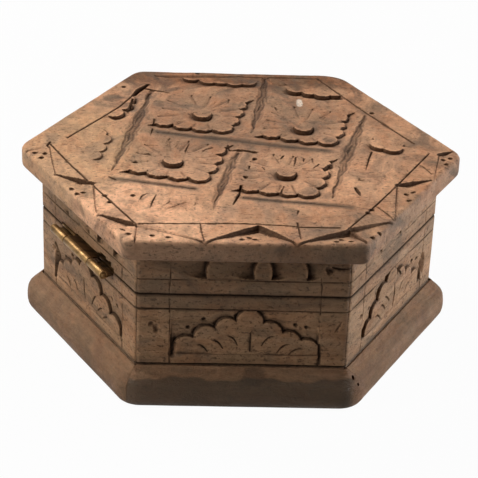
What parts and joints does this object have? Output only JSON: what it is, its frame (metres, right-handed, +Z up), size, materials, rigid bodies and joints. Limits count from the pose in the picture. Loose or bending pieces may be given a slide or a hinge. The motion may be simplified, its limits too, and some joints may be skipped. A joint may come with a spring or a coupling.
{
  "type": "carved wooden puzzle box",
  "caption": "Hexagonal carved wooden box with a brass-hinged lid, a moulded plinth and a hidden lock behind a sliding plinth strip.",
  "frame": {"origin": "on the table, under the centre of the hexagon", "axes": "+Z up, corners along X, the side with the sliding plinth strip faces -Y, the hinge is on the side that faces -X and -Y"},
  "size_m": [0.1046, 0.092, 0.0443],
  "materials": {
    "carved_wood": "waxed rosewood-like hardwood, carved, dark wax in the cuts",
    "plinth_wood": "waxed hardwood, planed moulding",
    "plain_wood": "unfinished planed hardwood",
    "brass": "tarnished rolled brass",
    "steel": "dull steel wire"
  },
  "bodies": {
    "box": {"base_board": "plain_wood", "wall_front": "carved_wood", "wall_front_right": "carved_wood", "wall_back_right": "carved_wood", "wall_back": "carved_wood", "wall_back_left": "carved_wood", "wall_front_left": "carved_wood", "plinth_front_right": "plinth_wood", "plinth_back_right": "plinth_wood", "plinth_back": "plinth_wood", "plinth_back_left": "plinth_wood", "plinth_front_left": "plinth_wood", "bolt_keeper": "plain_wood", "hinge_leaf_body": "brass", "hinge_pin": "steel", "hinge_screw_body_1": "brass", "hinge_screw_body_2": "brass"},
    "lid": {"lid_top": "carved_wood", "rim_front": "carved_wood", "rim_front_right": "carved_wood", "rim_back_right": "carved_wood", "rim_back": "carved_wood", "rim_back_left": "carved_wood", "rim_front_left": "carved_wood", "hinge_leaf_lid": "brass", "hinge_screw_lid_1": "brass", "hinge_screw_lid_2": "brass", "catch_hook": "brass", "catch_screw_1": "steel", "catch_screw_2": "steel"},
    "plinth_slider": {"secret_strip": "plinth_wood"},
    "bolt": {"lock_bolt": "plain_wood"}
  },
  "joints": [
    {"name": "lid_hinge", "type": "hinge", "parent": "box", "child": "lid", "pos_m": [-0.03784, -0.02219, 0.0279], "axis": [0.5, -0.866, 0], "range_deg": [0, 170]},
    {"name": "secret_strip_slide", "type": "slide", "parent": "box", "child": "plinth_slider", "axis": [1, 0, 0], "range_m": [0, 0.02]},
    {"name": "lock_bolt_slide", "type": "slide", "parent": "box", "child": "bolt", "axis": [1, 0, 0], "range_m": [0, 0.006]}
  ]
}
